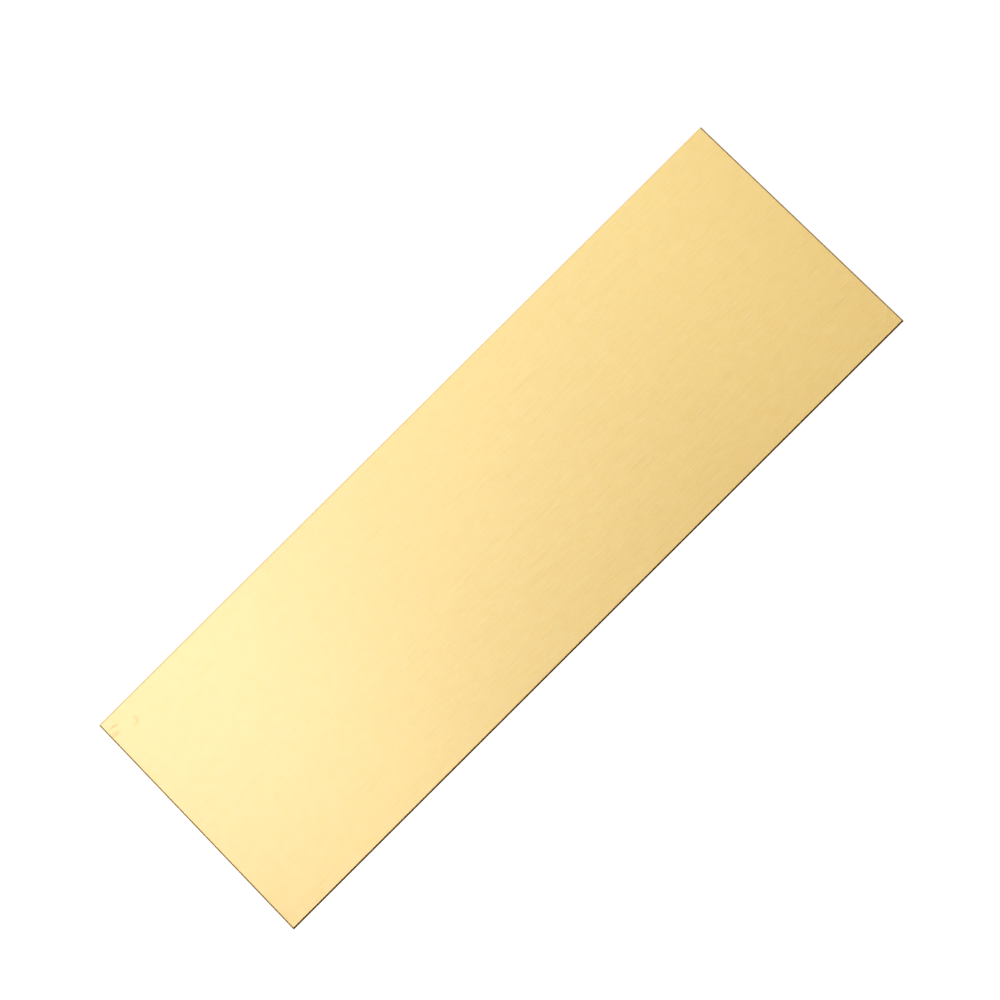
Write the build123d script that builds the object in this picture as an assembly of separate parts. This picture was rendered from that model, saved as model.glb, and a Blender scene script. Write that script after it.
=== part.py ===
from build123d import *
import os

# A stick-on kick plate for the foot of a door: one sheet of satin brass with four bevelled
# front edges, five strips of double-sided foam tape on its back, and a release liner with a
# pull tab on each strip.
#
# Frame, as the plate sits on the door: +X runs along the plate's length, +Z is up and +Y
# points into the door. The origin is at the centre of the plane that meets the door.
# Left and right are as seen from in front of the door, so left is -X.
# All sizes are in millimetres.

# ---------------------------------------------------------------- plate
PLATE_LENGTH = 609.6  # 24 inches
PLATE_HEIGHT = 203.2  # 8 inches
PLATE_THICKNESS = 1.5875  # 1/16 inch sheet
BEVEL = 1.2  # 45 degree bevel on each front edge, which leaves a narrow square side

# ---------------------------------------------------------------- foam tape
TAPE_WIDTH = 25.4  # 1 inch
TAPE_THICKNESS = 1.1
TAPE_INSET = 3.0  # from the plate's edge to the nearest strip, so no tape shows from in front
TAPE_GAP = 2.0  # between the end of one strip and the side of the next

# ---------------------------------------------------------------- release liner
LINER_THICKNESS = 0.13
TAB_LENGTH = 12.0  # how far each liner runs past its tape, to be pinched and pulled
TAB_CORNER = 5.0  # radius of the tab's two corners

# ---------------------------------------------------------------- worked out from the above
LINER_BACK = 0.0  # the plane that meets the door
TAPE_BACK = LINER_BACK - LINER_THICKNESS
PLATE_BACK = TAPE_BACK - TAPE_THICKNESS
PLATE_FRONT = PLATE_BACK - PLATE_THICKNESS

EDGE_TO_CENTRE_LINE = TAPE_INSET + TAPE_WIDTH / 2  # plate's edge to an outer strip's centre line
END_STRIP_X = PLATE_LENGTH / 2 - EDGE_TO_CENTRE_LINE
EDGE_STRIP_Z = PLATE_HEIGHT / 2 - EDGE_TO_CENTRE_LINE
FRAME_WIDTH = TAPE_INSET + TAPE_WIDTH + TAPE_GAP  # what an outer strip takes from an inner run

# A strip's run is the length of its liner: the tape and the tab past its end.
LONG_RUN = PLATE_LENGTH - 2 * TAPE_INSET
MIDDLE_RUN = PLATE_LENGTH - 2 * FRAME_WIDTH
END_RUN = PLATE_HEIGHT - 2 * FRAME_WIDTH

# name: centre x, centre z, run, degrees turned about Y. At 0 the tab is at the strip's right
# end, and at 90 it is at its lower end.
STRIPS = {
    "top": (0, EDGE_STRIP_Z, LONG_RUN, 0),
    "bottom": (0, -EDGE_STRIP_Z, LONG_RUN, 0),
    "left": (-END_STRIP_X, 0, END_RUN, 90),
    "right": (END_STRIP_X, 0, END_RUN, 90),
    "middle": (0, 0, MIDDLE_RUN, 0),
}


def slab(outline, front, back):
    """A flat piece between two depths, from an outline drawn with its length along X and its
    width along Z."""
    sheet = extrude(Plane.XZ * outline, amount=back - front, dir=(0, 1, 0))
    return Pos(0, front, 0) * sheet


def face_plate():
    """The brass sheet, with its four front edges bevelled."""
    sheet = slab(Rectangle(PLATE_LENGTH, PLATE_HEIGHT), PLATE_FRONT, PLATE_BACK)
    front_edges = sheet.faces().sort_by(Axis.Y)[0].edges()
    return chamfer(front_edges, BEVEL)


def tape(run):
    """Foam tape with square-cut ends, which stops short of its run by the length of the tab."""
    outline = Pos(-TAB_LENGTH / 2, 0) * Rectangle(run - TAB_LENGTH, TAPE_WIDTH)
    return slab(outline, PLATE_BACK, TAPE_BACK)


def liner(run):
    """Release film over the whole run, with the two corners of its tab rounded."""
    outline = Rectangle(run, TAPE_WIDTH)
    tab_corners = outline.vertices().sort_by(Axis.X)[-2:]
    return slab(fillet(tab_corners, TAB_CORNER), TAPE_BACK, LINER_BACK)


def build_nodes():
    """Every piece of the kick plate by its node name."""
    nodes = {"face_plate": face_plate()}
    for name, (x, z, run, turn) in STRIPS.items():
        place = Pos(x, 0, z) * Rot(0, turn, 0)
        nodes[f"tape_{name}"] = place * tape(run)
        nodes[f"liner_{name}"] = place * liner(run)
    return nodes


os.makedirs("parts", exist_ok=True)
for node, solid in build_nodes().items():
    export_step(solid, f"parts/{node}.step")
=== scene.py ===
import math

import bmesh
import bpy
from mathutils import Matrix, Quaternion, Vector, noise

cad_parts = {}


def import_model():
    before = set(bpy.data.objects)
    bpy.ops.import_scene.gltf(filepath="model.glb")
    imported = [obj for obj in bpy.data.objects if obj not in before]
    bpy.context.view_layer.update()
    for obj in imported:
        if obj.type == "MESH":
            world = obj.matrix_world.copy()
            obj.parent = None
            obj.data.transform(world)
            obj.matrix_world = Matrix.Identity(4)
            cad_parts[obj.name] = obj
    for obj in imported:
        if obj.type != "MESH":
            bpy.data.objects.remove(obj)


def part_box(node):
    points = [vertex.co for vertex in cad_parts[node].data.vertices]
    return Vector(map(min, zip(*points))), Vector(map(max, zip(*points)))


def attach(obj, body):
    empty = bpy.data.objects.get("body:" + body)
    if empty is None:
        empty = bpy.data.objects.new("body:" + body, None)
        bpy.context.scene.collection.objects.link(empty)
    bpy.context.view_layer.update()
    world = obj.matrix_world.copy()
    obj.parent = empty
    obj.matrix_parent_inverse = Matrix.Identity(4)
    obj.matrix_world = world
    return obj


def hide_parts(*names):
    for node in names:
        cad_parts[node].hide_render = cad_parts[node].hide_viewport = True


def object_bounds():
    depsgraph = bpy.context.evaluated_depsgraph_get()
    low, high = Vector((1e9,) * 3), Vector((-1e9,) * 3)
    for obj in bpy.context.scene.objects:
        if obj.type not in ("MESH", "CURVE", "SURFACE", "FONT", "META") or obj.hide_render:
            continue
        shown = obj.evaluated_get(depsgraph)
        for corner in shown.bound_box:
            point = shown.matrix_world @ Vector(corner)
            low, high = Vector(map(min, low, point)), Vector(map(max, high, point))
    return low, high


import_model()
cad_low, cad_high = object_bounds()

# A stick-on brass kick plate: the brass sheet, five strips of foam tape on its back and a
# release liner on each strip. Metres, in the CAD model's frame: +X along the plate, +Z up the
# door, +Y from the plate's back into the door. The brass face looks along -Y.

MM = 0.001
UP = Vector((0, 0, 1))
TO_DOOR = Vector((0, 1, 0))
STRIPS = ("top", "bottom", "left", "right", "middle")

# ---------------------------------------------------------------- brass sheet
BEVEL = 1.2 * MM
FACE_ROUND = 0.10 * MM  # where the bevel meets the face
SIDE_ROUND = 0.05 * MM  # where the bevel meets the side
BACK_ROUND = 0.10 * MM  # where the side meets the back
ROUND_STEPS = 4
FLAT_MARGIN = 0.15 * MM  # a flat band beside each rounded corner, so the flats shade flat

# ---------------------------------------------------------------- foam tape
TAPE_STEP = 3 * MM  # between one cross-section and the next
TAPE_ROUND = 0.12 * MM
TAPE_ROUND_STEPS = 2
CUT_DEPTH = 0.07 * MM  # how far the slit edges wander inwards
CUT_WANDER = 2.3 * MM  # how long one wander is

# ---------------------------------------------------------------- release liner
LINER_STEP = 6 * MM
TAB_STEPS = 14  # cross-sections along the tab
LINER_COLUMNS = 8  # faces across the liner's width
TAB_CORNER = 5 * MM
RIPPLE_HEIGHT = 0.12 * MM
RIPPLE_LENGTH = 45 * MM
TAB_CURL_RADIUS = {"top": 30 * MM, "bottom": 24 * MM, "left": 36 * MM, "right": 27 * MM, "middle": 22 * MM}
# How steeply a tab's end slopes from one side to the other.
TAB_TWIST = {"top": 0.10, "bottom": -0.14, "left": 0.06, "right": -0.08, "middle": 0.12}

# ---------------------------------------------------------------- finishes
# Colours are linear red, green and blue.
BRASS = (0.905, 0.564, 0.176)
WARM_BRASS = (0.88, 0.522, 0.137)
STAINED_BRASS = (0.60, 0.31, 0.065)
DULL_BRASS = (0.62, 0.36, 0.13)
FACE_ROUGHNESS = 0.36
BEVEL_ROUGHNESS = 0.26
MOST_WARMTH = 0.5  # how near the face comes to the warm brass
MARK_TONE = 0.86  # how bright a scratch or a speck is against bare metal
SCRATCH_START = 0.71  # a scratch is where its noise is over this
SCRATCH_FULL = 0.80  # and at its darkest over this
SPECK_RADIUS = 0.5 * MM
SPECK_CORE = 0.4  # the share of that radius which is fully dark
SPECK_SPACING = 45 * MM
SPECK_CHOICE = 0.62  # only a cell whose random brightness is above this has a speck
MOST_TARNISH = 0.35  # how near the back comes to the dull brass where it is most tarnished
FOAM_GREY = (0.34, 0.34, 0.35)
ADHESIVE_GREY = (0.30, 0.30, 0.31)
FOAM_CELL = 0.25 * MM
FILM_RED = (0.62, 0.025, 0.02)
HAZY_RED = (0.72, 0.11, 0.09)
TAB_RED = (0.70, 0.06, 0.045)
MOST_HAZE = 0.35  # how near the film over trapped air comes to the hazy red
FILM_COAT = {"Coat_Weight": 0.3, "Coat_Roughness": 0.08}
NOISE_LOW = 0.3  # nearly all of a noise lies between these two
NOISE_HIGH = 0.7
ROW_RATE = 0.3  # how fast the shift along changes from each streak to the one beside it

# Handling marks at the plate's lower right corner, with their turn in degrees.
STAINS = (
    {"from_end": 7.4 * MM, "from_bottom": 8.5 * MM, "length": 8.5 * MM, "width": 1.3 * MM,
     "turn": -9, "strength": 1.0},
    {"from_end": 4.8 * MM, "from_bottom": 13.6 * MM, "length": 9.0 * MM, "width": 3.4 * MM,
     "turn": -8, "strength": 0.5},
    {"from_end": 21.4 * MM, "from_bottom": 16.1 * MM, "length": 6.4 * MM, "width": 6.4 * MM,
     "turn": 0, "strength": 0.6, "hollow": (-0.5, 0.5, 0)},
)
STAIN_BITE = 1.6 * MM  # the size of the bites that make a mark's edge ragged
# Distances from the centre of a mark, or of its hollow, in half sizes of the mark.
STAIN_RAGGEDNESS = 0.35  # how far the bites go in or out
STAIN_CORE = 0.55  # a mark is at full strength up to here
STAIN_END = 1.25  # and gone from here on
HOLLOW_CORE = 0.65  # a hollow is bare up to here
HOLLOW_END = 1.0  # and gone from here on

# ---------------------------------------------------------------- studio
FLOOR_Z = cad_low.z - 1.1
FLOOR_RADIUS = 2.5
FLOOR_SIDES = 64
FLOOR_GLOW_SEEN = 1.33  # how brightly the camera sees the floor glow
FLOOR_GLOW_ON_METAL = 0.80  # how brightly everything else is lit by it
WHITE = (1, 1, 1)
COOL_LIGHT = (0.885, 0.885, 1.0)
WARM_LIGHT = (1.0, 0.99, 0.89)
# Name, azimuth and elevation in degrees, distance, width, height, watts and colour. Azimuth 0
# is straight in front of the plate, and 90 is along +X.
LIGHTS = (
    ("key", 18, -14, 2.2, 0.84, 0.76, 8.4, COOL_LIGHT),
    ("front_right", 4, -14, 2.2, 0.76, 0.76, 2.9, WHITE),
    ("front_left", -6, -24, 2.2, 0.76, 0.76, 4.0, WHITE),
    ("fill_low", -20, -24, 2.2, 0.76, 0.76, 1.8, WARM_LIGHT),
    ("fill_high", -20, -4, 2.2, 0.76, 0.76, 2.3, WARM_LIGHT),
    ("left", -90, 0, 1.6, 1.0, 1.0, 0.3, WHITE),
    ("right", 90, 0, 1.6, 1.0, 1.0, 0.3, WHITE),
    ("back_left", 240, -12, 2.5, 1.4, 1.2, 4.5, WHITE),
    ("back_middle", 180, -8, 2.5, 1.2, 1.2, 4.0, WHITE),
    ("back_right", 120, -12, 2.5, 1.4, 1.2, 4.5, WHITE),
    ("back_high", 180, 40, 2.4, 1.4, 1.0, 26.0, WHITE),
)
SURROUND = (0.06, 0.053, 0.034)  # the dim light that the metal reflects from all round
BACKDROP = 1.4  # how brightly the camera sees the world behind the object
WHITE_LEVEL = 1.3  # the brightness that is shown as white
SHOULDER = 1.0  # how much the tones below it are rolled off
CURVE_STEPS = 8
CAMERA_AZIMUTH = 0.93  # in degrees, as the next two are
CAMERA_ELEVATION = 9.30
CAMERA_ROLL = 134.96
CAMERA_DISTANCE = 2.111
CAMERA_LENS = 106.455  # in millimetres, as the sensor is
CAMERA_SENSOR = 36
CAMERA_AIM = Vector((-12.6 * MM, 0, -12.3 * MM))


# ================================================================ meshes
def finished(name, mesh, material_list, body, node):
    """Makes the object, and says what it rides on, stands for and takes its finish from."""
    piece = bpy.data.objects.new(name, mesh)
    bpy.context.scene.collection.objects.link(piece)
    for material in material_list:
        mesh.materials.append(material)
    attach(piece, body)
    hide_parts(node)
    return piece


def as_mesh(bm, name):
    """Turns a bmesh into a mesh of this name."""
    mesh = bpy.data.meshes.new(name)
    bm.to_mesh(mesh)
    bm.free()
    return mesh


def rounded(before, corner, after, radius, steps):
    """Points of an arc that rounds one corner of a section."""
    towards_before = (before - corner).normalized()
    towards_after = (after - corner).normalized()
    half_angle = towards_before.angle(towards_after) / 2
    setback = radius / math.tan(half_angle)
    centre = corner + (towards_before + towards_after).normalized() * radius / math.sin(half_angle)
    start = corner + towards_before * setback - centre
    end = corner + towards_after * setback - centre
    turn = start.angle(end)
    points = []
    for i in range(steps + 1):
        share = i / steps
        blend = start * math.sin((1 - share) * turn) + end * math.sin(share * turn)
        points.append(centre + blend / math.sin(turn))
    return points


def plate_section(thickness):
    """The plate's edge in section, from the face round to the back, as points and the material
    of the band that follows each: x is the distance in from the outline and y the depth behind
    the face."""
    well_inside = 3 * BEVEL
    face = Vector((well_inside, 0))
    bevel_top = Vector((BEVEL, 0))
    bevel_foot = Vector((0, BEVEL))
    back_edge = Vector((0, thickness))
    back = Vector((well_inside, thickness))
    bends = (
        (face, bevel_top, bevel_foot, FACE_ROUND, 0),
        (bevel_top, bevel_foot, back_edge, SIDE_ROUND, 1),
        (bevel_foot, back_edge, back, BACK_ROUND, 2),
    )
    section = []
    for before, corner, after, radius, material in bends:
        arc = rounded(before, corner, after, radius, ROUND_STEPS)
        lead_in = arc[0] + (before - corner).normalized() * FLAT_MARGIN
        lead_out = arc[-1] + (after - corner).normalized() * FLAT_MARGIN
        section += [(point, material) for point in (lead_in, arc[0])]
        section += [(point, material + 1) for point in (*arc[1:], lead_out)]
    return section


def plate_mesh():
    """The brass sheet, swept from its section round the four sides with mitred corners.
    Material 0 is the face, 1 the bevels, 2 the sides and 3 the back. The UV map is in metres,
    u across the grain and v along it."""
    low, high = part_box("face_plate")
    section = plate_section(high.y - low.y)
    bm = bmesh.new()
    uv = bm.loops.layers.uv.new("grain")
    rings = []
    for point, _ in section:
        half_length = high.x - point.x
        half_height = high.z - point.x
        depth = low.y + point.y
        rings.append([
            bm.verts.new((-half_length, depth, -half_height)),
            bm.verts.new((half_length, depth, -half_height)),
            bm.verts.new((half_length, depth, half_height)),
            bm.verts.new((-half_length, depth, half_height))])

    walked = 0.0
    for i in range(len(rings) - 1):
        inner, outer = rings[i], rings[i + 1]
        width = (section[i + 1][0] - section[i][0]).length
        for side in range(4):
            after = (side + 1) % 4
            face = bm.faces.new((inner[side], outer[side], outer[after], inner[after]))
            face.material_index = section[i][1]
            lengthwise = side in (0, 2)
            for loop in face.loops:
                across = walked + (width if loop.vert in outer else 0.0)
                along = loop.vert.co.x if lengthwise else loop.vert.co.z
                loop[uv].uv = (across + side, along)  # a metre apart, so no two sides look alike
            mitre = bm.edges.get((inner[side], outer[side]))
            mitre.smooth = False
        walked += width

    for ring, material in ((rings[0], 0), (rings[-1], 3)):
        face = bm.faces.new(ring)
        face.material_index = material
        for loop in face.loops:
            loop[uv].uv = (loop.vert.co.z, loop.vert.co.x)
    for face in bm.faces:
        face.smooth = True
    bmesh.ops.recalc_face_normals(bm, faces=bm.faces)
    return as_mesh(bm, "brass_plate")


def strip_frame(name):
    """Where a strip lies: its start on the centre line of the tape's bonded face, the way to its
    tab, the way across it, its tape's length and thickness, its liner's length, and its width."""
    tape_low, tape_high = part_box(f"tape_{name}")
    liner_low, liner_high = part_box(f"liner_{name}")
    middle = (tape_low + tape_high) / 2
    size = tape_high - tape_low
    liner_size = liner_high - liner_low
    if size.x > size.z:
        along = Vector((1, 0, 0))
        start = Vector((tape_low.x, tape_low.y, middle.z))
        return start, along, UP, size.x, size.y, liner_size.x, size.z
    along = -UP
    start = Vector((middle.x, tape_low.y, tape_high.z))
    return start, along, Vector((1, 0, 0)), size.z, size.y, liner_size.z, size.x


def map_grain(face, uv, start, along, across):
    """Gives a face of a strip its UV, in metres: u across the strip and v along it."""
    for loop in face.loops:
        offset = loop.vert.co - start
        loop[uv].uv = (offset.dot(across), offset.dot(along))


def tape_section(width, thickness):
    """Foam tape in section, as (across, out from the plate), with its long corners eased."""
    corners = [
        Vector((-width / 2, 0)),
        Vector((width / 2, 0)),
        Vector((width / 2, thickness)),
        Vector((-width / 2, thickness)),
    ]
    points = []
    for i, corner in enumerate(corners):
        points += rounded(corners[i - 1], corner, corners[(i + 1) % 4], TAPE_ROUND, TAPE_ROUND_STEPS)
    return points


def tape_mesh(name):
    """A strip of foam tape whose slit edges wander a little, as cut foam does. Material 0 is
    the cut foam and 1 the adhesive."""
    start, along, across, length, thickness, _, width = strip_frame(name)
    section = tape_section(width, thickness)
    steps = round(length / TAPE_STEP)
    bm = bmesh.new()
    uv = bm.loops.layers.uv.new("grain")
    rings = []
    for i in range(steps + 1):
        ring = []
        for point in section:
            uncut = start + along * (length * i / steps) + across * point.x + TO_DOOR * point.y
            wander = 0.5 + 0.5 * noise.noise(uncut / CUT_WANDER)
            inwards = -math.copysign(CUT_DEPTH * wander, point.x)
            ring.append(bm.verts.new(uncut + across * inwards))
        rings.append(ring)
    for one, other in zip(rings, rings[1:]):
        for k in range(len(section)):
            following = (k + 1) % len(section)
            bm.faces.new((one[k], one[following], other[following], other[k]))
    bm.faces.new(list(reversed(rings[0])))
    bm.faces.new(rings[-1])
    bmesh.ops.recalc_face_normals(bm, faces=bm.faces)
    for face in bm.faces:
        faces_door = face.normal.dot(TO_DOOR) > 0.9
        face.material_index = 1 if faces_door else 0
        map_grain(face, uv, start, along, across)
    return as_mesh(bm, f"foam_tape_{name}")


def liner_stations(tape_length, liner_length):
    """Distances along a liner: even over the tape, closer over the tab, and closest round the
    tab's corners."""
    steps = round(tape_length / LINER_STEP)
    stations = [tape_length * i / steps for i in range(steps)]
    tab_length = liner_length - tape_length
    straight = tab_length - TAB_CORNER
    half = TAB_STEPS // 2
    stations += [tape_length + straight * i / half for i in range(half)]
    for i in range(half + 1):
        stations.append(tape_length + straight + TAB_CORNER * math.sin(math.pi / 2 * i / half))
    return stations


def liner_mesh(name):
    """Release film: it lies on the tape in faint ripples, and its tab curls away with a twist.
    Material 0 is over the tape and 1 is the tab."""
    start, along, across, tape_length, thickness, liner_length, width = strip_frame(name)
    start = start + TO_DOOR * thickness
    bm = bmesh.new()
    uv = bm.loops.layers.uv.new("grain")
    rows = []
    for distance in liner_stations(tape_length, liner_length):
        into_corner = max(0.0, distance - (liner_length - TAB_CORNER))
        narrowing = TAB_CORNER - math.sqrt(max(0.0, TAB_CORNER**2 - into_corner**2))
        half_width = width / 2 - narrowing
        past_tape = max(0.0, distance - tape_length)
        row = []
        for k in range(LINER_COLUMNS + 1):
            side = half_width * (2 * k / LINER_COLUMNS - 1)
            flat = start + along * distance + across * side
            ripple = max(0.0, noise.noise(flat / RIPPLE_LENGTH)) * RIPPLE_HEIGHT
            curl = past_tape**2 / (2 * TAB_CURL_RADIUS[name])
            twist = TAB_TWIST[name] * side * past_tape / (liner_length - tape_length)
            twist = max(twist, -curl / 2)  # so that neither side dips towards the plate
            lift = ripple + curl + twist
            row.append(bm.verts.new(flat + TO_DOOR * lift))
        rows.append(row)
    for one, other in zip(rows, rows[1:]):
        for k in range(LINER_COLUMNS):
            face = bm.faces.new((one[k], one[k + 1], other[k + 1], other[k]))
            face.smooth = True
            distance = (face.calc_center_median() - start).dot(along)
            face.material_index = 1 if distance > tape_length else 0
            map_grain(face, uv, start, along, across)
    bmesh.ops.recalc_face_normals(bm, faces=bm.faces)
    bm.faces.ensure_lookup_table()
    if bm.faces[0].normal.dot(TO_DOOR) < 0:
        bmesh.ops.reverse_faces(bm, faces=bm.faces)
    for edge in bm.edges:
        edge.smooth = not edge.is_boundary
    return as_mesh(bm, f"release_liner_{name}")


# ================================================================ materials
def add(tree, kind, inputs=None, **settings):
    """Adds a node, applies its settings, and sets or links each of its inputs that is given, by
    name or by number."""
    made = tree.nodes.new(kind)
    for name, value in settings.items():
        setattr(made, name, value)
    for name, value in (inputs or {}).items():
        if isinstance(value, bpy.types.NodeSocket):
            tree.links.new(value, made.inputs[name])
        else:
            made.inputs[name].default_value = value
    return made


def new_material(name, linked, **constants):
    """A material whose Principled shader takes these constants, with underscores for spaces.
    linked is a function that is given the node tree and returns the linked inputs."""
    material = bpy.data.materials.new(name)
    material.use_nodes = True
    tree = material.node_tree
    shader = tree.nodes["Principled BSDF"]
    for constant, value in constants.items():
        shader.inputs[constant.replace("_", " ")].default_value = value
    for socket, source in linked(tree).items():
        tree.links.new(source, shader.inputs[socket])
    return material


def place(tree):
    """Where a point is on its piece, in metres: x across the grain and y along it."""
    return add(tree, "ShaderNodeUVMap", uv_map="grain").outputs["UV"]


def streaks(tree, across, along, turn=0.0, detail=2.0, stagger=10.0):
    """Noise from 0 to 1, drawn out into streaks of about this width and length, which lie this
    many degrees off the grain. From row to row they are shifted along by up to stagger lengths,
    so that their ends don't line up."""
    turned = add(tree, "ShaderNodeMapping", {
        "Vector": place(tree), "Rotation": (0, 0, math.radians(turn))}).outputs["Vector"]
    rows = add(tree, "ShaderNodeMapping", {"Vector": turned, "Scale": (ROW_RATE / across, 0, 0)})
    shift = add(tree, "ShaderNodeTexNoise", {
        "Vector": rows.outputs["Vector"], "Scale": 1.0, "Detail": 0.0}).outputs["Fac"]
    shifted = add(tree, "ShaderNodeCombineXYZ", {"Y": calculate(tree, "MULTIPLY", shift, stagger)})
    drawn_out = add(tree, "ShaderNodeMapping", {
        "Vector": turned, "Scale": (1 / across, 1 / along, 1), "Location": shifted.outputs["Vector"]})
    return add(tree, "ShaderNodeTexNoise", {
        "Vector": drawn_out.outputs["Vector"], "Scale": 1.0, "Detail": detail}).outputs["Fac"]


def blotches(tree, size, detail=2.0):
    """Noise from 0 to 1, in patches of about this size."""
    return add(tree, "ShaderNodeTexNoise", {
        "Vector": place(tree), "Scale": 1 / size, "Detail": detail}).outputs["Fac"]


def remap(tree, value, from_low, from_high, to_low, to_high):
    """value taken from one range to another, and held at the ends."""
    return add(tree, "ShaderNodeMapRange", {
        "Value": value, "From Min": from_low, "From Max": from_high,
        "To Min": to_low, "To Max": to_high}).outputs["Result"]


def ramp(tree, value, start, end):
    """0 where the value is under start, 1 where it is over end, and even in between."""
    return remap(tree, value, start, end, 0.0, 1.0)


def graded(tree, share, start, end):
    """start where share is 0, end where it is 1, and even in between."""
    return remap(tree, share, 0.0, 1.0, start, end)


def between(tree, noise_value, low, high):
    """A number that follows a noise, from low to high."""
    return remap(tree, noise_value, NOISE_LOW, NOISE_HIGH, low, high)


def swing(tree, noise_value, amount):
    """A factor that follows a noise, from 1 - amount to 1 + amount."""
    return between(tree, noise_value, 1 - amount, 1 + amount)


def calculate(tree, operation, one, other):
    """The result of one Math node."""
    return add(tree, "ShaderNodeMath", {0: one, 1: other}, operation=operation).outputs["Value"]


def product(tree, *factors):
    """All the factors multiplied together."""
    total = factors[0]
    for factor in factors[1:]:
        total = calculate(tree, "MULTIPLY", total, factor)
    return total


def times_colour(tree, colour, factor):
    """A colour whose three channels are multiplied by a factor."""
    return add(tree, "ShaderNodeVectorMath", {0: colour, 1: factor},
               operation="MULTIPLY").outputs["Vector"]


def mixed(tree, share, one, other):
    """one where share is 0, other where it is 1."""
    return add(tree, "ShaderNodeMixRGB", {"Fac": share, "Color1": one, "Color2": other}).outputs["Color"]


def bump(tree, height, distance, under=None):
    """Relief of this depth from a height of 0 to 1, on top of any relief under it."""
    inputs = {"Height": height, "Distance": distance}
    if under:
        inputs["Normal"] = under
    return add(tree, "ShaderNodeBump", inputs).outputs["Normal"]


# ---------------------------------------------------------------- brass
def grain_tangent(tree):
    """The way across the grain, in which the grain spreads the shine."""
    return add(tree, "ShaderNodeTangent", direction_type="UV_MAP", uv_map="grain").outputs["Tangent"]


def scratches(tree, turn):
    """1 on bare metal and less in thin dark scratches that lie at this angle to the grain."""
    line = streaks(tree, across=0.6 * MM, along=30 * MM, turn=turn, detail=0.0)
    return remap(tree, line, SCRATCH_START, SCRATCH_FULL, 1.0, MARK_TONE)


def specks(tree):
    """1 on bare metal and less in a few small dark specks."""
    spread = add(tree, "ShaderNodeMapping", {
        "Vector": place(tree), "Scale": (1 / SPECK_SPACING, 1 / SPECK_SPACING, 1)})
    cells = add(tree, "ShaderNodeTexVoronoi", {"Vector": spread.outputs["Vector"], "Scale": 1.0})
    edge = SPECK_RADIUS / SPECK_SPACING
    near = remap(tree, cells.outputs["Distance"], SPECK_CORE * edge, edge, 1.0, 0.0)
    chosen = calculate(tree, "GREATER_THAN", cells.outputs["Color"], SPECK_CHOICE)
    return graded(tree, product(tree, near, chosen), 1.0, MARK_TONE)


def stain(tree, from_end, from_bottom, length, width, turn, strength, hollow=None):
    """How strongly a handling mark shows, from 0 to its strength. It is given by how far its
    centre is in from the plate's right end and up from its bottom, its size and its angle. One
    that is only a crescent also has the centre of its hollow, as a share of its half size."""
    centre = (cad_low.z + from_bottom, cad_high.x - from_end, 0)
    offset = add(tree, "ShaderNodeVectorMath", {0: place(tree), 1: centre}, operation="SUBTRACT")
    turned = add(tree, "ShaderNodeMapping", {
        "Vector": offset.outputs["Vector"], "Rotation": (0, 0, math.radians(turn))})
    scaled = add(tree, "ShaderNodeMapping", {
        "Vector": turned.outputs["Vector"], "Scale": (2 / width, 2 / length, 1)}).outputs["Vector"]
    ragged = between(tree, blotches(tree, STAIN_BITE), -STAIN_RAGGEDNESS, STAIN_RAGGEDNESS)

    def reach(point):
        """The distance from a point of the mark, in half sizes, made ragged."""
        distance = add(tree, "ShaderNodeVectorMath", {0: scaled, 1: point}, operation="DISTANCE")
        return calculate(tree, "ADD", distance.outputs["Value"], ragged)

    shown = remap(tree, reach((0, 0, 0)), STAIN_CORE, STAIN_END, strength, 0.0)
    if hollow:
        shown = product(tree, shown, ramp(tree, reach(hollow), HOLLOW_CORE, HOLLOW_END))
    return shown


def face_finish(tree):
    """Satin brass brushed along its length, with a few scratches and specks, and handling marks
    at the lower right corner."""
    fine = streaks(tree, across=0.35 * MM, along=5 * MM)
    medium = streaks(tree, across=1.0 * MM, along=16 * MM)
    broad = streaks(tree, across=6.0 * MM, along=120 * MM)
    grit = blotches(tree, 0.8 * MM)
    tone = product(
        tree,
        swing(tree, fine, 0.055),
        swing(tree, medium, 0.045),
        swing(tree, broad, 0.014),
        swing(tree, grit, 0.06),
        scratches(tree, turn=2.0),
        scratches(tree, turn=-4.0),
        specks(tree))
    mottle = remap(tree, blotches(tree, 9 * MM, detail=5.0), 0.35, 0.65, 0.0, MOST_WARMTH)
    colour = times_colour(tree, mixed(tree, mottle, (*BRASS, 1), (*WARM_BRASS, 1)), tone)
    for mark in STAINS:
        colour = mixed(tree, stain(tree, **mark), colour, (*STAINED_BRASS, 1))
    return {
        "Base Color": colour,
        "Roughness": between(tree, medium, FACE_ROUGHNESS - 0.02, FACE_ROUGHNESS + 0.02),
        "Normal": bump(tree, medium, 0.002 * MM),
        "Tangent": grain_tangent(tree)}


def bevel_finish(tree):
    """Machined brass: crisp cutter lines that run along the edge."""
    lines = streaks(tree, across=0.07 * MM, along=60 * MM)
    drift = streaks(tree, across=2 * MM, along=12 * MM)
    tone = product(tree, swing(tree, lines, 0.05), swing(tree, drift, 0.03))
    return {
        "Base Color": times_colour(tree, BRASS, tone),
        "Roughness": between(tree, drift, BEVEL_ROUGHNESS - 0.03, BEVEL_ROUGHNESS + 0.03),
        "Normal": bump(tree, lines, 0.001 * MM),
        "Tangent": grain_tangent(tree)}


def side_finish(tree):
    """Sheared brass: short drag marks across the sheet's thickness."""
    drag = streaks(tree, across=1.5 * MM, along=0.12 * MM)
    return {
        "Base Color": times_colour(tree, DULL_BRASS, swing(tree, drag, 0.10)),
        "Roughness": between(tree, drag, 0.34, 0.48),
        "Normal": bump(tree, drag, 0.006 * MM)}


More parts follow.
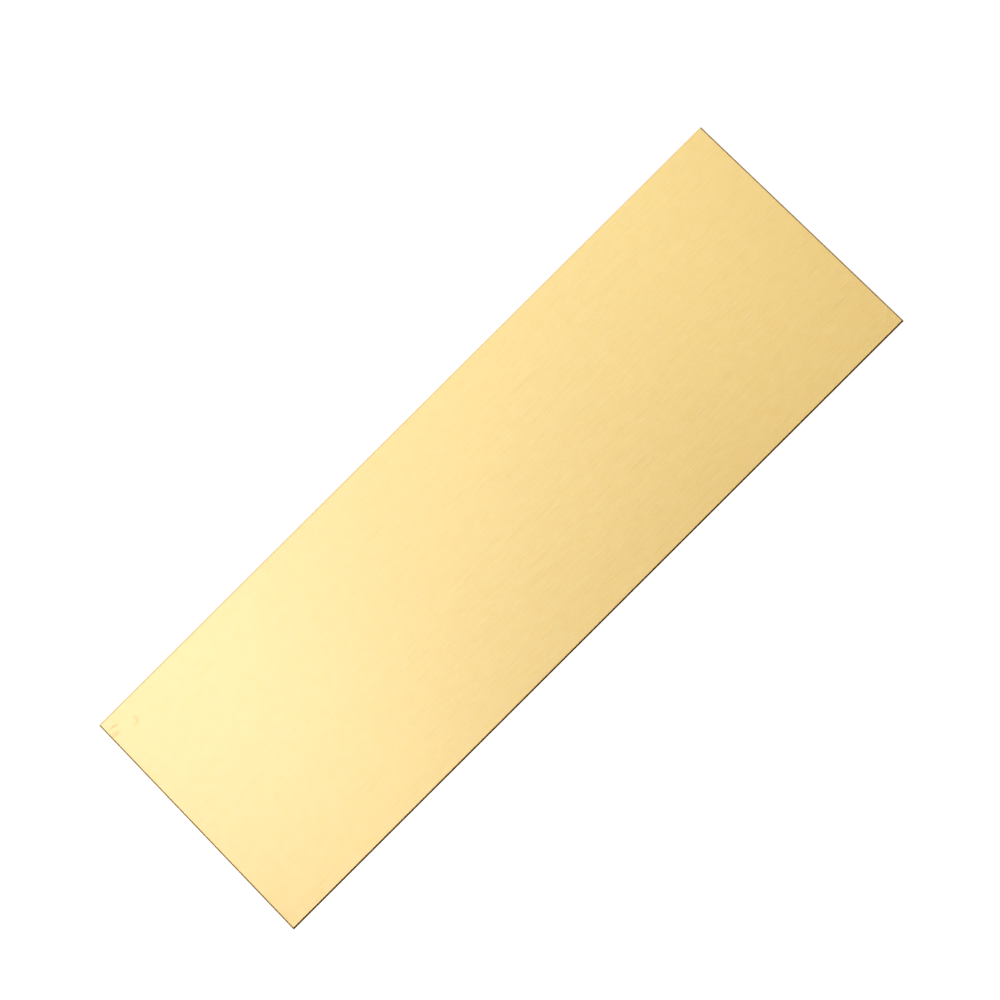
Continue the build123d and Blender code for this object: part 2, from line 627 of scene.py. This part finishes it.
def back_finish(tree):
    """Mill finish brass: rolling lines, and a thin uneven tarnish."""
    rolled = streaks(tree, across=1.6 * MM, along=150 * MM, detail=1.0, stagger=2.0)
    bands = streaks(tree, across=9 * MM, along=300 * MM, detail=1.0, stagger=2.0)
    tone = product(tree, swing(tree, rolled, 0.04), swing(tree, bands, 0.04))
    tarnish = remap(tree, blotches(tree, 40 * MM, detail=3.0), 0.45, 0.72, 0.0, MOST_TARNISH)
    return {
        "Base Color": mixed(tree, tarnish, times_colour(tree, BRASS, tone), (*DULL_BRASS, 1)),
        "Roughness": remap(tree, tarnish, 0.0, MOST_TARNISH, 0.32, 0.36),
        "Tangent": grain_tangent(tree)}


# ---------------------------------------------------------------- foam tape
def foam_finish(tree):
    """Closed-cell foam where it was slit: fine pores, with painted shade darkening the hollow of each."""
    cells = add(tree, "ShaderNodeTexVoronoi", {
        "Vector": add(tree, "ShaderNodeTexCoord").outputs["Object"], "Scale": 1 / FOAM_CELL})
    wall_and_pore_shade = ramp(tree, cells.outputs["Distance"], 0.15, 0.55)
    return {
        # painted shade: the foam's colour darkens towards the middle of each pore, where the relief is
        # lowest
        "Base Color": times_colour(tree, FOAM_GREY, graded(tree, wall_and_pore_shade, 0.72, 1.06)),
        "Roughness": graded(tree, wall_and_pore_shade, 0.95, 0.78),
        "Normal": bump(tree, wall_and_pore_shade, 0.05 * MM)}


def adhesive_finish(tree):
    """The foam's sticky face: glossier, with coating lines and a slight orange peel."""
    lines = streaks(tree, across=0.9 * MM, along=140 * MM)
    peel = blotches(tree, 1.4 * MM)
    tone = product(tree, swing(tree, lines, 0.04), swing(tree, blotches(tree, 22 * MM), 0.05))
    return {
        "Base Color": times_colour(tree, ADHESIVE_GREY, tone),
        "Roughness": between(tree, peel, 0.22, 0.40),
        "Normal": bump(tree, peel, 0.02 * MM, under=bump(tree, lines, 0.01 * MM))}


# ---------------------------------------------------------------- release film
def film_relief(tree):
    """Faint ripples across the film over the fine lines that rolling leaves along it."""
    ripples = streaks(tree, across=30 * MM, along=9 * MM)
    lines = streaks(tree, across=0.5 * MM, along=90 * MM)
    return bump(tree, ripples, 0.05 * MM, under=bump(tree, lines, 0.004 * MM))


def bonded_film_finish(tree):
    """Red film on its adhesive: deep red where it is wetted, and hazy over trapped air."""
    air = ramp(tree, streaks(tree, across=3.0 * MM, along=9 * MM, detail=1.0), 0.64, 0.74)
    wetted = times_colour(tree, FILM_RED, swing(tree, blotches(tree, 40 * MM), 0.06))
    return {
        "Base Color": mixed(tree, product(tree, air, MOST_HAZE), wetted, (*HAZY_RED, 1)),
        "Roughness": graded(tree, air, 0.20, 0.34),
        "Normal": film_relief(tree)}


def free_film_finish(tree):
    """Red film with nothing behind it, on the tab: a little paler, with pinch creases."""
    creases = streaks(tree, across=3.0 * MM, along=1.6 * MM, turn=30.0)
    return {
        "Base Color": times_colour(tree, TAB_RED, swing(tree, blotches(tree, 6 * MM), 0.06)),
        "Roughness": between(tree, creases, 0.20, 0.30),
        "Normal": bump(tree, creases, 0.03 * MM, under=film_relief(tree))}


# ================================================================ the pieces
finished(
    "brass_plate", plate_mesh(),
    [new_material("brass_face", face_finish, Metallic=1.0, Anisotropic=0.7,
                  Coat_Weight=1.0, Coat_Roughness=0.32),
     new_material("brass_bevel", bevel_finish, Metallic=1.0, Anisotropic=0.4),
     new_material("brass_side", side_finish, Metallic=1.0),
     new_material("brass_back", back_finish, Metallic=1.0, Anisotropic=0.5)],
    "plate", "face_plate")

foam = new_material("foam_cut", foam_finish)
adhesive = new_material("foam_adhesive", adhesive_finish)
bonded_film = new_material("film_bonded", bonded_film_finish, **FILM_COAT)
free_film = new_material("film_tab", free_film_finish, **FILM_COAT)
for strip in STRIPS:
    finished(f"foam_tape_{strip}", tape_mesh(strip), [foam, adhesive],
             "plate", f"tape_{strip}")
    liner = finished(f"release_liner_{strip}", liner_mesh(strip), [bonded_film, free_film],
                     f"{strip}_liner", f"liner_{strip}")
    liner_low, liner_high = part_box(f"liner_{strip}")
    film_thickness = liner.modifiers.new("film_thickness", "SOLIDIFY")
    film_thickness.thickness = liner_high.y - liner_low.y
    film_thickness.offset = 1.0


# ================================================================ studio
def floor_glow(tree):
    """Bright enough to be seen as white, and dimmer to what it lights."""
    seen = add(tree, "ShaderNodeLightPath").outputs["Is Camera Ray"]
    return {"Emission Strength": graded(tree, seen, FLOOR_GLOW_ON_METAL, FLOOR_GLOW_SEEN)}


def floor():
    """A plain pale floor, which glows so that it stays pale far from the lights."""
    mesh = bpy.data.meshes.new("floor")
    corners = []
    for i in range(FLOOR_SIDES):
        angle = math.tau * i / FLOOR_SIDES
        corners.append((FLOOR_RADIUS * math.cos(angle), FLOOR_RADIUS * math.sin(angle), FLOOR_Z))
    mesh.from_pydata(corners, [], [list(range(FLOOR_SIDES))])
    piece = bpy.data.objects.new("floor", mesh)
    bpy.context.scene.collection.objects.link(piece)
    mesh.materials.append(new_material(
        "pale_floor", floor_glow, Base_Color=(0.8, 0.8, 0.8, 1), Roughness=0.9,
        Emission_Color=(*WHITE, 1)))


def outwards(azimuth, elevation):
    """The way out from the plate at these angles, in degrees."""
    round_plate = math.radians(azimuth)
    upwards = math.radians(elevation)
    return Vector((
        math.sin(round_plate) * math.cos(upwards),
        -math.cos(round_plate) * math.cos(upwards),
        math.sin(upwards)))


def looking_back(way_out):
    """The turn that makes a light or a camera look back along this way out."""
    return (-way_out).to_track_quat("-Z", "Y")


def softbox(name, azimuth, elevation, distance, width, height, watts, colour):
    """An area light that faces the plate."""
    data = bpy.data.lights.new(name, "AREA")
    data.shape = "RECTANGLE"
    data.size = width
    data.size_y = height
    data.energy = watts
    data.color = colour
    light = bpy.data.objects.new(name, data)
    bpy.context.scene.collection.objects.link(light)
    way_out = outwards(azimuth, elevation)
    light.location = way_out * distance
    light.rotation_mode = "QUATERNION"
    light.rotation_quaternion = looking_back(way_out)
    light.visible_camera = False


def world():
    """White behind the object, and a dim surround for what the metal reflects."""
    made = bpy.data.worlds.new("surround")
    made.use_nodes = True
    tree = made.node_tree
    tree.nodes.clear()
    dim = add(tree, "ShaderNodeBackground", {"Color": (*SURROUND, 1), "Strength": 1.0})
    white = add(tree, "ShaderNodeBackground", {"Color": (*WHITE, 1), "Strength": BACKDROP})
    seen = add(tree, "ShaderNodeLightPath").outputs["Is Camera Ray"]
    both = add(tree, "ShaderNodeMixShader", {
        0: seen, 1: dim.outputs["Background"], 2: white.outputs["Background"]})
    add(tree, "ShaderNodeOutputWorld", {"Surface": both.outputs["Shader"]})
    bpy.context.scene.world = made


def camera():
    """The camera, rolled about its own axis so that the plate lies aslant in the picture."""
    data = bpy.data.cameras.new("camera")
    data.lens = CAMERA_LENS
    data.sensor_width = CAMERA_SENSOR
    made = bpy.data.objects.new("camera", data)
    bpy.context.scene.collection.objects.link(made)
    way_out = outwards(CAMERA_AZIMUTH, CAMERA_ELEVATION)
    roll = Quaternion((0, 0, 1), math.radians(CAMERA_ROLL))
    made.location = CAMERA_AIM + way_out * CAMERA_DISTANCE
    made.rotation_mode = "QUATERNION"
    made.rotation_quaternion = looking_back(way_out) @ roll
    bpy.context.scene.camera = made


def tone_curve():
    """Rolls the highlights off a little, as film does, so that the brightest brass stays yellow."""
    view = bpy.context.scene.view_settings
    view.view_transform = "Standard"
    view.use_curve_mapping = True
    mapping = view.curve_mapping
    mapping.white_level = (WHITE_LEVEL, WHITE_LEVEL, WHITE_LEVEL)
    all_channels = mapping.curves[3]
    full = 1 - math.exp(-SHOULDER * WHITE_LEVEL)
    for i in range(1, CURVE_STEPS):
        share = i / CURVE_STEPS
        shown = (1 - math.exp(-SHOULDER * WHITE_LEVEL * share)) / full
        all_channels.points.new(share, shown)
    mapping.update()


floor()
world()
for light in LIGHTS:
    softbox(*light)
camera()
tone_curve()
